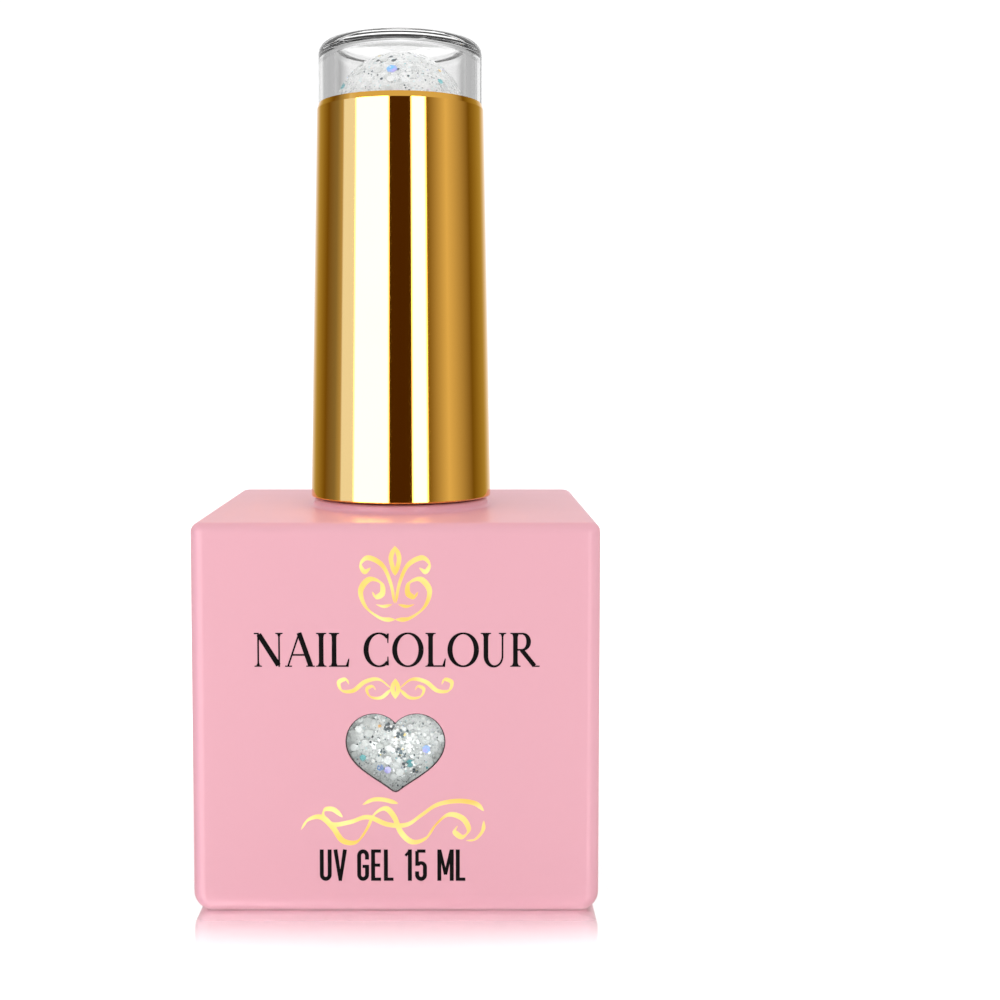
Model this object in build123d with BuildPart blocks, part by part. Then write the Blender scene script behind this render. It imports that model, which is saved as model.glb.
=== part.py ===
# Nail polish bottle: a square lacquered glass bottle with a heart-shaped window, a tall gold
# screw cap with a clear crown over a colour sample, and a brush fixed in the cap.
#
# Millimetres. +Z is up, the front (heart) face looks towards -Y. The origin is on the table,
# on the axis of the neck. The bottle is shown closed, with the brush inside it.
import os
from math import hypot, sqrt

from build123d import *

os.makedirs("parts", exist_ok=True)

# ------------------------------------------------------------------ bottle body, over the lacquer
body_width = 32.4
body_depth = 27.4
shoulder_height = 31.3
side_edge_radius = 1.1
base_edge_radius = 1.7
shoulder_edge_radius = 0.8
coat_thickness = 0.15
coat_lift = 0.06  # the lacquer stops this far above the table

# ------------------------------------------------------------------ hollow of the bottle
side_wall = 2.45
base_wall = 3.2
shoulder_wall = 2.05
cavity_side_radius = 3.0
cavity_floor_radius = 1.6
cavity_ceiling_radius = 2.4
headspace = 3.5  # air above the gel, under the shoulder

# ------------------------------------------------------------------ base recess and label
recess_depth = 0.5
recess_margin = 4.0  # from the lacquered side to the recess
recess_corner_radius = 2.0
recess_coat_gap = 0.05
label_margin = 1.5
label_thickness = 0.1

# ------------------------------------------------------------------ heart window in the lacquer
heart_width = 7.9
heart_lobe_radius = 2.27
heart_lobe_height = 13.95  # centres of the two lobes above the table
heart_tip_height = 9.75
heart_flank_angle = 20  # degrees below level where a lobe ends and the flank starts
heart_tip_radius = 0.45

# ------------------------------------------------------------------ neck finish, 13 mm, 12 turns an inch
neck_radius = 5.65
neck_height = 11.1  # from the top of the shoulder boss to the lip
neck_bore_radius = 3.9
lip_outer_radius = 0.45
lip_inner_radius = 0.3
bare_neck_ring = 0.5  # unlacquered glass round the foot of the neck
bead_projection = 0.5
bead_width = 1.2
bead_rise = 1.4  # from the boss to the bead's lower edge
thread_pitch = 25.4 / 12
thread_depth = 0.75
thread_root_width = 1.1
thread_crest_width = 0.5
thread_sink = 0.2  # how far a thread is rooted in its wall
thread_fade = 0.12  # share of a thread over which each end runs out
neck_thread_turns = 1.6
neck_thread_drop = 1.7  # from the lip to the middle of the thread's upper end

# ------------------------------------------------------------------ shoulder boss
boss_height = 0.7
boss_inset = 0.27  # the boss is this much smaller than the cap above it
boss_foot_radius = 0.35
boss_edge_radius = 0.3

# ------------------------------------------------------------------ cap
cap_gap = 0.15  # from the boss to the closed cap
cap_thread_clearance = 0.12  # from each thread's crest to the other one's root
cap_thread_bias = 0.12  # the closed cap's thread bears up against the neck's thread
cap_thread_turns = 1.7
cap_thread_lead = 0.35  # turns by which the cap's thread starts before the neck's
skirt_wall = 0.805
sleeve_fit = 0.05
sleeve_wall = 0.5
sleeve_height = 33.9
sleeve_taper = 0.675  # radius lost from the bottom of the sleeve to the top
sleeve_lip_height = 0.48  # of the sloping lip that meets the crown
sleeve_lip_depth = 0.13
sleeve_foot_radius = 0.12
inner_cap_recess = 0.2  # the inner cap stops above the sleeve's lower edge
inner_cap_lead_in = 0.3
liner_thickness = 1.0
liner_clearance = 0.15
web_thickness = 1.4
core_wall = 1.3
rib_count = 12
rib_angle = 4  # degrees
rib_grip = 0.02  # how far the ribs bite into the sleeve
rib_margin = 1.5

# ------------------------------------------------------------------ crown and sample
crown_height = 5.45  # above the sleeve's rim
crown_corner_radius = 1.05
crown_rise = 0.2
crown_top_wall = 0.7
crown_plug_depth = 2.8
crown_plug_fit = 0.03
crown_cavity_radius = 5.75
crown_cavity_corner_radius = 0.8
sample_flange = 1.2
sample_fit = 0.05
sample_radius = 5.5  # of the dome itself
sample_ceiling_gap = 0.15
sample_wall = 1.0
sample_layer_thickness = 0.2

# ------------------------------------------------------------------ brush
stem_radius = 2.3
stem_tip_radius = 1.75
stem_tip_edge_radius = 0.25
stem_hub_radius = 2.5
stem_hub_fit = 0.02
stem_head_radius = 3.3
stem_head_height = 1.2
brush_floor_gap = 1.0
bristle_length = 9.8  # showing below the stem
bristle_root_length = 3.4  # held in the stem
bristle_root_width = 2.6
bristle_root_thickness = 1.0
bristle_fan_width = 4.6
bristle_fan_thickness = 1.4
bristle_fan_height = 4.4  # from the tip to the widest place
bristle_tip_thickness = 0.6
bristle_fit = 0.03
anchor_thickness = 0.35
brush_channel_clearance = 0.45

# ------------------------------------------------------------------ agitator balls
ball_radius = 2.0
ball_clearance = 0.03
ball_wall_gap = 3.6  # from the ball to the side of the hollow
ball_setback = 3.0

# ------------------------------------------------------------------ heights and radii worked out
boss_top = shoulder_height + boss_height
lip_height = boss_top + neck_height
cavity_width = body_width - 2 * (coat_thickness + side_wall)
cavity_depth = body_depth - 2 * (coat_thickness + side_wall)
cavity_ceiling = shoulder_height - coat_thickness - shoulder_wall
fill_height = cavity_ceiling - headspace
recess_width = body_width - 2 * recess_margin
recess_depth_y = body_depth - 2 * recess_margin

cap_bore_radius = neck_radius + thread_depth + cap_thread_clearance
sleeve_bottom = boss_top + cap_gap
sleeve_top = sleeve_bottom + sleeve_height
sleeve_base_radius = cap_bore_radius + skirt_wall + sleeve_fit + sleeve_wall
sleeve_lip_bottom = sleeve_top - sleeve_lip_height
boss_radius = sleeve_base_radius - boss_inset
web_bottom = lip_height + liner_thickness
web_top = web_bottom + web_thickness
plug_bottom = sleeve_top - crown_plug_depth
flange_bottom = plug_bottom - sample_flange
inner_cap_bottom = sleeve_bottom + inner_cap_recess
crown_top = sleeve_top + crown_height
crown_ceiling = crown_top - crown_rise - crown_top_wall

brush_tip = base_wall + brush_floor_gap
stem_bottom = brush_tip + bristle_length
socket_top = stem_bottom + bristle_root_length + anchor_thickness
brush_reach = hypot(bristle_fan_width / 2, bristle_fan_thickness / 2)
brush_channel_radius = max(brush_reach, stem_radius) + brush_channel_clearance


def sleeve_radius(height):
    """Outer radius of the tapered sleeve at a height."""
    return sleeve_base_radius - sleeve_taper * (height - sleeve_bottom) / sleeve_height


def sleeve_bore(height):
    """Inner radius of the tapered sleeve at a height."""
    return sleeve_radius(height) - sleeve_wall


def bottle_block(inset):
    """Body and shoulder boss, with every face moved inwards by inset."""
    with BuildPart() as block:
        with BuildSketch(Plane.XY.offset(inset - coat_thickness)):
            RectangleRounded(body_width - 2 * inset, body_depth - 2 * inset, side_edge_radius - inset)
        extrude(amount=shoulder_height + coat_thickness - 2 * inset)
        fillet(block.faces().sort_by(Axis.Z)[-1].edges(), shoulder_edge_radius - inset)
        fillet(block.faces().sort_by(Axis.Z)[0].edges(), base_edge_radius - inset)
        with BuildSketch(Plane.XY.offset(shoulder_height - inset)):
            Circle(boss_radius - inset)
        extrude(amount=boss_height)
        boss_edges = block.edges().filter_by(GeomType.CIRCLE).sort_by(Axis.Z)
        fillet(boss_edges[-1], boss_edge_radius - inset)
        foot = block.edges().filter_by(GeomType.CIRCLE).filter_by_position(
            Axis.Z, shoulder_height - inset - 0.01, shoulder_height - inset + 0.01
        )
        fillet(foot.sort_by(SortBy.RADIUS)[-1], boss_foot_radius + inset)
    return block.part


def thread_stretch(root_radius, outwards, tips, turns, start_height, start_turn):
    """Stretch of right-handed thread whose depth goes evenly from the first of tips to the last."""
    with BuildPart() as stretch:
        with BuildLine() as path:
            Helix(thread_pitch, thread_pitch * turns, root_radius)
        helix = path.line
        for place, tip in zip((0, 1), tips):
            point = helix @ place
            radial = Vector(point.X, point.Y, 0).normalized() * outwards
            flank = (thread_root_width - thread_crest_width) * max(0, tip) / thread_depth
            tip_width = thread_root_width - flank
            with BuildSketch(Plane(origin=point, x_dir=radial, z_dir=helix % place)):
                with BuildLine():
                    Polyline(
                        (-thread_sink, -thread_root_width / 2),
                        (tip, -tip_width / 2),
                        (tip, tip_width / 2),
                        (-thread_sink, thread_root_width / 2),
                        close=True,
                    )
                make_face()
        sweep(path=helix, multisection=True, is_frenet=True)
    return stretch.part.moved(Location((0, 0, start_height), (0, 0, 360 * start_turn)))


def screw_thread(root_radius, outwards, turns, start_height, start_turn):
    """Right-handed thread on a wall, which sinks into the wall at both ends."""
    sunk_tip = -thread_sink / 4
    stretches = (
        (thread_fade, (sunk_tip, thread_depth)),
        (1 - 2 * thread_fade, (thread_depth, thread_depth)),
        (thread_fade, (thread_depth, sunk_tip)),
    )
    turns_done = 0
    with BuildPart() as thread:
        for share, tips in stretches:
            add(
                thread_stretch(
                    root_radius,
                    outwards,
                    tips,
                    turns * share,
                    start_height + thread_pitch * turns_done,
                    start_turn + turns_done,
                )
            )
            turns_done += turns * share
    return thread.part


# ------------------------------------------------------------------ hollow shared by glass and gel
with BuildPart() as cavity:
    with BuildSketch(Plane.XY.offset(base_wall)):
        RectangleRounded(cavity_width, cavity_depth, cavity_side_radius)
    extrude(amount=cavity_ceiling - base_wall)
    fillet(cavity.faces().sort_by(Axis.Z)[-1].edges(), cavity_ceiling_radius)
    fillet(cavity.faces().sort_by(Axis.Z)[0].edges(), cavity_floor_radius)

# ------------------------------------------------------------------ glass bottle
neck_thread_start = lip_height - neck_thread_drop - thread_pitch * neck_thread_turns

with BuildPart() as glass_bottle:
    add(bottle_block(coat_thickness))
    with BuildSketch(Plane.XZ):
        bead_bottom = boss_top + bead_rise
        with BuildLine():
            Polyline(
                (0, shoulder_height - coat_thickness),
                (neck_radius, shoulder_height - coat_thickness),
                (neck_radius, bead_bottom),
                (neck_radius + bead_projection, bead_bottom + bead_projection / 2),
                (neck_radius + bead_projection, bead_bottom + bead_width - bead_projection / 2),
                (neck_radius, bead_bottom + bead_width),
                (neck_radius, lip_height),
                (0, lip_height),
                close=True,
            )
        make_face()
    revolve(axis=Axis.Z)
    add(cavity.part, mode=Mode.SUBTRACT)
    with BuildSketch(Plane.XY.offset(base_wall + cavity_floor_radius)):
        Circle(neck_bore_radius)
    extrude(amount=lip_height - base_wall, mode=Mode.SUBTRACT)
    lip_edges = glass_bottle.faces().sort_by(Axis.Z)[-1].edges().sort_by(SortBy.RADIUS)
    fillet(lip_edges[-1], lip_outer_radius)
    lip_edges = glass_bottle.faces().sort_by(Axis.Z)[-1].edges().sort_by(SortBy.RADIUS)
    fillet(lip_edges[0], lip_inner_radius)
    add(screw_thread(neck_radius, 1, neck_thread_turns, neck_thread_start, 0))
    with BuildSketch():
        RectangleRounded(recess_width, recess_depth_y, recess_corner_radius)
    extrude(amount=recess_depth, mode=Mode.SUBTRACT)
glass_bottle.part.label = "glass_bottle"
export_step(glass_bottle.part, "parts/glass_bottle.step")

# ------------------------------------------------------------------ lacquer with the heart window
heart_lobe_offset = heart_width / 2 - heart_lobe_radius
heart_notch_height = heart_lobe_height + sqrt(heart_lobe_radius**2 - heart_lobe_offset**2)

with BuildPart() as lacquer_coat:
    add(bottle_block(0))
    add(bottle_block(coat_thickness), mode=Mode.SUBTRACT)
    with BuildSketch(Plane.XY.offset(-coat_thickness)):
        Rectangle(2 * body_width, 2 * body_depth)
    extrude(amount=coat_thickness + coat_lift, mode=Mode.SUBTRACT)
    with BuildSketch(Plane.XY.offset(shoulder_height)):
        Circle(neck_radius + bare_neck_ring)
    extrude(amount=2 * boss_height, mode=Mode.SUBTRACT)
    with BuildSketch(Plane.XZ.offset(body_depth / 2 - side_wall)) as heart:
        with BuildLine():
            lobe = ThreePointArc(
                (0, heart_notch_height),
                (heart_lobe_offset, heart_lobe_height + heart_lobe_radius),
                Vector(heart_lobe_offset, heart_lobe_height)
                + Vector(heart_lobe_radius, 0).rotate(Axis.Z, -heart_flank_angle),
            )
            flank_start = lobe @ 1
            tip = Vector(0, heart_tip_height)
            flank_length = (tip - flank_start).length
            Bezier(
                flank_start,
                flank_start + (lobe % 1) * flank_length / 3,
                tip + Vector(1, 0).rotate(Axis.Z, 42) * flank_length / 3,
                tip,
            )
            mirror(about=Plane.YZ)
        make_face()
        fillet(heart.vertices().sort_by(Axis.Y)[0], heart_tip_radius)
    extrude(amount=2 * side_wall, mode=Mode.SUBTRACT)
    with BuildSketch(Plane.XY.offset(recess_depth)):
        RectangleRounded(
            recess_width - 2 * recess_coat_gap,
            recess_depth_y - 2 * recess_coat_gap,
            recess_corner_radius - recess_coat_gap,
        )
    extrude(amount=-coat_thickness)
lacquer_coat.part.label = "lacquer_coat"
export_step(lacquer_coat.part, "parts/lacquer_coat.step")

# ------------------------------------------------------------------ blank label in the base recess
with BuildPart() as base_label:
    with BuildSketch(Plane.XY.offset(recess_depth - coat_thickness)):
        RectangleRounded(
            recess_width - 2 * label_margin,
            recess_depth_y - 2 * label_margin,
            recess_corner_radius,
        )
    extrude(amount=-label_thickness)
base_label.part.label = "base_label"
export_step(base_label.part, "parts/base_label.step")

# ------------------------------------------------------------------ agitator balls
ball_height = base_wall + ball_radius + ball_clearance
ball_offset = cavity_width / 2 - ball_wall_gap - ball_radius
ball_places = [(-ball_offset, ball_setback, ball_height), (ball_offset, -ball_setback, ball_height)]

with BuildPart() as mixing_balls:
    with Locations(*ball_places):
        Sphere(ball_radius)
mixing_balls.part.label = "mixing_balls"
export_step(mixing_balls.part, "parts/mixing_balls.step")

# ------------------------------------------------------------------ glitter gel round the brush
with BuildPart() as gel_fill:
    add(cavity.part)
    with BuildSketch(Plane.XY.offset(fill_height)):
        Rectangle(body_width, body_depth)
    extrude(amount=shoulder_height, mode=Mode.SUBTRACT)
    with BuildSketch(Plane.XY.offset(base_wall + brush_floor_gap / 2)):
        Circle(brush_channel_radius)
    extrude(amount=shoulder_height, mode=Mode.SUBTRACT)
    with Locations(*ball_places):
        Sphere(ball_radius + ball_clearance, mode=Mode.SUBTRACT)
gel_fill.part.label = "gel_fill"
export_step(gel_fill.part, "parts/gel_fill.step")

# ------------------------------------------------------------------ sealing liner on the lip
with BuildPart() as sealing_liner:
    with BuildSketch(Plane.XY.offset(lip_height)):
        Circle(cap_bore_radius - liner_clearance)
        Circle(stem_hub_radius + liner_clearance, mode=Mode.SUBTRACT)
    extrude(amount=liner_thickness)
sealing_liner.part.label = "sealing_liner"
export_step(sealing_liner.part, "parts/sealing_liner.step")

# ------------------------------------------------------------------ inner cap
with BuildPart() as crush_rib:
    rib_bottom = web_top + rib_margin
    rib_top = flange_bottom - rib_margin
    with BuildSketch(Plane.XZ):
        with BuildLine():
            Polyline(
                (sleeve_bore(rib_bottom) - core_wall / 2, rib_bottom),
                (sleeve_bore(rib_bottom) + rib_grip, rib_bottom),
                (sleeve_bore(rib_top) + rib_grip, rib_top),
                (sleeve_bore(rib_top) - core_wall / 2, rib_top),
                close=True,
            )
        make_face()
    revolve(axis=Axis.Z, revolution_arc=rib_angle)

with BuildPart() as inner_cap:
    skin_bottom = sleeve_bore(inner_cap_bottom) - sleeve_fit
    skin_top = sleeve_bore(flange_bottom) - sleeve_fit
    with BuildSketch(Plane.XZ):
        with BuildLine():
            Polyline(
                (cap_bore_radius + inner_cap_lead_in, inner_cap_bottom),
                (skin_bottom, inner_cap_bottom),
                (skin_top, flange_bottom),
                (skin_top - core_wall, flange_bottom),
                (sleeve_bore(web_top) - sleeve_fit - core_wall, web_top),
                (stem_hub_radius + stem_hub_fit, web_top),
                (stem_hub_radius + stem_hub_fit, web_bottom),
                (cap_bore_radius, web_bottom),
                (cap_bore_radius, inner_cap_bottom + inner_cap_lead_in),
                close=True,
            )
        make_face()
    revolve(axis=Axis.Z)
    with PolarLocations(0, rib_count):
        add(crush_rib.part)
    cap_thread_start = neck_thread_start + cap_thread_bias - thread_pitch * (0.5 + cap_thread_lead)
    add(screw_thread(cap_bore_radius, -1, cap_thread_turns, cap_thread_start, -cap_thread_lead))
inner_cap.part.label = "inner_cap"
export_step(inner_cap.part, "parts/inner_cap.step")

# ------------------------------------------------------------------ gold sleeve
crown_radius = sleeve_radius(sleeve_top) - sleeve_lip_depth

with BuildPart() as gold_sleeve:
    with BuildSketch(Plane.XZ):
        with BuildLine():
            Polyline(
                (sleeve_bore(sleeve_bottom), sleeve_bottom),
                (sleeve_radius(sleeve_bottom), sleeve_bottom),
                (sleeve_radius(sleeve_lip_bottom), sleeve_lip_bottom),
                (crown_radius, sleeve_top),
                (sleeve_bore(sleeve_top), sleeve_top),
                close=True,
            )
        make_face()
    revolve(axis=Axis.Z)
    foot_edges = gold_sleeve.edges().filter_by(GeomType.CIRCLE).group_by(Axis.Z)[0]
    fillet(foot_edges, sleeve_foot_radius)
gold_sleeve.part.label = "gold_sleeve"
export_step(gold_sleeve.part, "parts/gold_sleeve.step")

# ------------------------------------------------------------------ sample dome and its gel layer
dome_top = crown_ceiling - sample_ceiling_gap - sample_layer_thickness
dome_centre = dome_top - sample_radius
standing = (Align.CENTER, Align.CENTER, Align.MIN)

with BuildPart() as sample_dome:
    with BuildSketch(Plane.XY.offset(flange_bottom)):
        Circle(sleeve_bore(plug_bottom) - sample_fit)
    extrude(amount=sample_flange)
    with BuildSketch(Plane.XY.offset(flange_bottom)):
        Circle(sample_radius)
    extrude(amount=dome_centre - flange_bottom)
    with Locations((0, 0, dome_centre)):
        Sphere(sample_radius, arc_size1=0, align=standing)
    with BuildSketch(Plane.XY.offset(flange_bottom)):
        Circle(sample_radius - sample_wall)
    extrude(amount=dome_centre - flange_bottom, mode=Mode.SUBTRACT)
    with Locations((0, 0, dome_centre)):
        Sphere(sample_radius - sample_wall, arc_size1=0, align=standing, mode=Mode.SUBTRACT)
sample_dome.part.label = "sample_dome"
export_step(sample_dome.part, "parts/sample_dome.step")

with BuildPart() as sample_layer:
    with Locations((0, 0, dome_centre)):
        Sphere(sample_radius + sample_layer_thickness, arc_size1=0, align=standing)
        Sphere(sample_radius, arc_size1=0, align=standing, mode=Mode.SUBTRACT)
sample_layer.part.label = "sample_layer"
export_step(sample_layer.part, "parts/sample_layer.step")

# ------------------------------------------------------------------ clear crown
crown_shoulder = crown_top - crown_rise

with BuildPart() as clear_top:
    with BuildSketch(Plane.XZ):
        with BuildLine():
            foot_line = Polyline(
                (0, plug_bottom),
                (sleeve_bore(plug_bottom) - crown_plug_fit, plug_bottom),
                (sleeve_bore(sleeve_top) - crown_plug_fit, sleeve_top),
                (crown_radius, sleeve_top),
                (crown_radius, crown_shoulder - crown_corner_radius),
            )
            corner = RadiusArc(
                foot_line @ 1,
                (crown_radius - crown_corner_radius, crown_shoulder),
                -crown_corner_radius,
            )
            Bezier(
                corner @ 1,
                (crown_radius / 2, crown_top),
                (crown_radius / 4, crown_top),
                (0, crown_top),
            )
            Line((0, crown_top), (0, plug_bottom))
        make_face()
    revolve(axis=Axis.Z)
    with BuildSketch(Plane.XY.offset(plug_bottom)):
        Circle(crown_cavity_radius)
    extrude(amount=crown_ceiling - plug_bottom, mode=Mode.SUBTRACT)
    cavity_rim = clear_top.edges().filter_by(GeomType.CIRCLE).filter_by_position(
        Axis.Z, crown_ceiling - 0.01, crown_ceiling + 0.01
    )
    fillet(cavity_rim, crown_cavity_corner_radius)
clear_top.part.label = "clear_top"
export_step(clear_top.part, "parts/clear_top.step")

# ------------------------------------------------------------------ brush stem
with BuildPart() as brush_stem:
    with BuildSketch(Plane.XZ):
        with BuildLine():
            Polyline(
                (0, stem_bottom),
                (stem_tip_radius, stem_bottom),
                (stem_radius, lip_height - lip_inner_radius),
                (stem_hub_radius, lip_height),
                (stem_hub_radius, web_top),
                (stem_head_radius, web_top),
                (stem_head_radius, web_top + stem_head_height),
                (0, web_top + stem_head_height),
                close=True,
            )
        make_face()
    revolve(axis=Axis.Z)
    fillet(brush_stem.faces().sort_by(Axis.Z)[0].edges(), stem_tip_edge_radius)
    with BuildSketch(Plane.XY.offset(stem_bottom)):
        Rectangle(bristle_root_width + 2 * bristle_fit, bristle_root_thickness + 2 * bristle_fit)
    extrude(amount=socket_top - stem_bottom, mode=Mode.SUBTRACT)
brush_stem.part.label = "brush_stem"
export_step(brush_stem.part, "parts/brush_stem.step")

# ------------------------------------------------------------------ staple that anchors the tuft
with BuildPart() as bristle_anchor:
    with BuildSketch(Plane.XY.offset(socket_top - anchor_thickness)):
        Rectangle(bristle_root_width, bristle_root_thickness)
    extrude(amount=anchor_thickness)
bristle_anchor.part.label = "bristle_anchor"
export_step(bristle_anchor.part, "parts/bristle_anchor.step")

# ------------------------------------------------------------------ flat brush
with BuildPart() as brush_bristles:
    root_top = stem_bottom + bristle_root_length
    fan_height = brush_tip + bristle_fan_height
    with BuildSketch(Plane.XZ):
        with BuildLine():
            Line((0, root_top), (bristle_root_width / 2, root_top))
            Line((bristle_root_width / 2, root_top), (bristle_root_width / 2, stem_bottom))
            Bezier(
                (bristle_root_width / 2, stem_bottom),
                (bristle_root_width / 2, (stem_bottom + fan_height) / 2),
                (bristle_fan_width / 2, (stem_bottom + fan_height) / 2),
                (bristle_fan_width / 2, fan_height),
            )
            Bezier(
                (bristle_fan_width / 2, fan_height),
                (bristle_fan_width / 2, brush_tip + bristle_fan_height / 4),
                (bristle_fan_width / 3, brush_tip),
                (0, brush_tip),
            )
            mirror(about=Plane.YZ)
        make_face()
    extrude(amount=bristle_fan_thickness / 2, both=True)
    with BuildSketch(Plane.YZ):
        with BuildLine():
            Line((0, root_top), (bristle_root_thickness / 2, root_top))
            Line((bristle_root_thickness / 2, root_top), (bristle_root_thickness / 2, stem_bottom))
            Line((bristle_root_thickness / 2, stem_bottom), (bristle_fan_thickness / 2, fan_height))
            Line((bristle_fan_thickness / 2, fan_height), (bristle_tip_thickness / 2, brush_tip))
            Line((bristle_tip_thickness / 2, brush_tip), (0, brush_tip))
            mirror(about=Plane.YZ)
        make_face()
    extrude(amount=bristle_fan_width, both=True, mode=Mode.INTERSECT)
brush_bristles.part.label = "brush_bristles"
export_step(brush_bristles.part, "parts/brush_bristles.step")
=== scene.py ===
import math
import random

import bmesh
import bpy
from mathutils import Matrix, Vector


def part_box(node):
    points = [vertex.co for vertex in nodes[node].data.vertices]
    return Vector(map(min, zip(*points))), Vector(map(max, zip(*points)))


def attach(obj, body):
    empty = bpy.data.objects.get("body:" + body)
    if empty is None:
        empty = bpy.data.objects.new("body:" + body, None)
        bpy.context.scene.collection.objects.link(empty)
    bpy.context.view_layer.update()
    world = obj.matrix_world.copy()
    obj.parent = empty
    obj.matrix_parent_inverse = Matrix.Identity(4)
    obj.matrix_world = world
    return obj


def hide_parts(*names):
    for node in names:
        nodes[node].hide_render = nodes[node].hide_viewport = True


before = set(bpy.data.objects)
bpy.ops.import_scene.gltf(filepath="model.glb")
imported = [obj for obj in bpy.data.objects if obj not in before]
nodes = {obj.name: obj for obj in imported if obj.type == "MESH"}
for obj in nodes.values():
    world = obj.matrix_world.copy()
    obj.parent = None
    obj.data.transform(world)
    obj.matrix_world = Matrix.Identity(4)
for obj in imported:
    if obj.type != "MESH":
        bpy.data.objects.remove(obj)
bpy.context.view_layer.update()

MM = 0.001
draw = random.Random(7)


# ---------------------------------------------------------------- places taken from the frame
coat_low, coat_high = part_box("lacquer_coat")
layer_low, layer_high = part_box("sample_layer")
gel_low, gel_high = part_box("gel_fill")
stem_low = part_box("brush_stem")[0]
tuft_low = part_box("brush_bristles")[0]
front = coat_low.y


# ---------------------------------------------------------------- material helpers
def new_material(name):
    """A material with a Principled shader; returns (material, node tree, shader)."""
    material = bpy.data.materials.new(name)
    material.use_nodes = True
    tree = material.node_tree
    return material, tree, tree.nodes["Principled BSDF"]


def node(tree, kind, **values):
    """Adds a node; values set its attributes, or its inputs where the name is an input's."""
    made = tree.nodes.new(kind)
    for key, value in values.items():
        if key in made.inputs:
            made.inputs[key].default_value = value
        else:
            setattr(made, key, value)
    return made


def place(tree):
    """Object coordinates, which don't depend on the view."""
    return tree.nodes.new("ShaderNodeTexCoord").outputs["Object"]


def noise(tree, scale, detail=3.0):
    """A noise texture in object space, scale in waves per metre."""
    made = node(tree, "ShaderNodeTexNoise", Scale=scale, Detail=detail, Roughness=0.5)
    tree.links.new(place(tree), made.inputs["Vector"])
    return made.outputs["Fac"]


def spread(tree, value, low, high):
    """Maps a 0 to 1 value to low to high."""
    made = node(tree, "ShaderNodeMapRange")
    made.inputs["To Min"].default_value = low
    made.inputs["To Max"].default_value = high
    tree.links.new(value, made.inputs["Value"])
    return made.outputs["Result"]


def blend_colours(tree, value, first, second):
    """Mixes two plain colours by a 0 to 1 value."""
    made = node(tree, "ShaderNodeMix", data_type="RGBA")
    made.inputs[6].default_value = (*first, 1)
    made.inputs[7].default_value = (*second, 1)
    tree.links.new(value, made.inputs[0])
    return made.outputs[2]


def bump(tree, shader, height, strength, distance):
    """Feeds a height into the shader's normal."""
    made = node(tree, "ShaderNodeBump", Strength=strength, Distance=distance)
    tree.links.new(height, made.inputs["Height"])
    tree.links.new(made.outputs["Normal"], shader.inputs["Normal"])


def choose(tree, factor, first, second):
    """Mixes two shaders; returns the mix."""
    mix = tree.nodes.new("ShaderNodeMixShader")
    tree.links.new(factor, mix.inputs[0])
    tree.links.new(first, mix.inputs[1])
    tree.links.new(second, mix.inputs[2])
    return mix.outputs[0]


def let_lamps_through(tree, shader, tint):
    """Makes a clear material's shadow clear too, so that what is inside is lit."""
    path = tree.nodes.new("ShaderNodeLightPath")
    clear = node(tree, "ShaderNodeBsdfTransparent", Color=(*tint, 1))
    mixed = choose(tree, path.outputs["Is Shadow Ray"], shader.outputs[0], clear.outputs[0])
    tree.links.new(mixed, tree.nodes["Material Output"].inputs["Surface"])


def moulded(name, first, second, roughness, grain):
    """Moulded plastic: faint flow mottling, uneven gloss and a fine skin texture."""
    material, tree, shader = new_material(name)
    tree.links.new(blend_colours(tree, noise(tree, 180), first, second), shader.inputs["Base Color"])
    tree.links.new(
        spread(tree, noise(tree, 900), roughness * 0.8, roughness * 1.25), shader.inputs["Roughness"]
    )
    bump(tree, shader, noise(tree, grain), 0.25, 0.01 * MM)
    return material


def clear_material(name, tint, ior, specular):
    """Clear glass or acrylic, perfectly smooth but for a faint waviness."""
    material, tree, shader = new_material(name)
    shader.inputs["Base Color"].default_value = (*tint, 1)
    shader.inputs["Transmission Weight"].default_value = 1
    shader.inputs["IOR"].default_value = ior
    shader.inputs["Specular IOR Level"].default_value = specular
    shader.inputs["Roughness"].default_value = 0.0
    bump(tree, shader, noise(tree, 160, 1.0), 0.03, 0.02 * MM)
    let_lamps_through(tree, shader, tint)
    return material


# ---------------------------------------------------------------- materials
def lacquer_material():
    """Satin pink lacquer with a thin, softly shining skin."""
    material, tree, shader = new_material("pink_lacquer")
    colour = blend_colours(tree, noise(tree, 60, 2.0), (0.685, 0.35, 0.412), (0.695, 0.358, 0.42))
    tree.links.new(colour, shader.inputs["Base Color"])
    tree.links.new(spread(tree, noise(tree, 400), 0.42, 0.48), shader.inputs["Roughness"])
    shader.inputs["Specular IOR Level"].default_value = 0.2
    shader.inputs["Coat Weight"].default_value = 0.12
    shader.inputs["Coat Roughness"].default_value = 0.14
    bump(tree, shader, noise(tree, 1500, 2.0), 0.06, 0.01 * MM)
    return material


def gold_material():
    """Polished gold, all but mirror-smooth."""
    material, tree, shader = new_material("gold_anodised")
    colour = blend_colours(tree, noise(tree, 90), (0.93, 0.49, 0.082), (0.95, 0.51, 0.09))
    tree.links.new(colour, shader.inputs["Base Color"])
    shader.inputs["Metallic"].default_value = 1
    tree.links.new(spread(tree, noise(tree, 2500), 0.035, 0.065), shader.inputs["Roughness"])
    bump(tree, shader, noise(tree, 3000, 2.0), 0.03, 0.004 * MM)
    return material


def metal_material(name, colour, roughness):
    """Bare metal with uneven polish."""
    material, tree, shader = new_material(name)
    tree.links.new(
        blend_colours(tree, noise(tree, 700), colour, tuple(0.9 * c for c in colour)),
        shader.inputs["Base Color"],
    )
    shader.inputs["Metallic"].default_value = 1
    tree.links.new(
        spread(tree, noise(tree, 4000), roughness * 0.7, roughness * 1.3), shader.inputs["Roughness"]
    )
    return material


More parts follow.
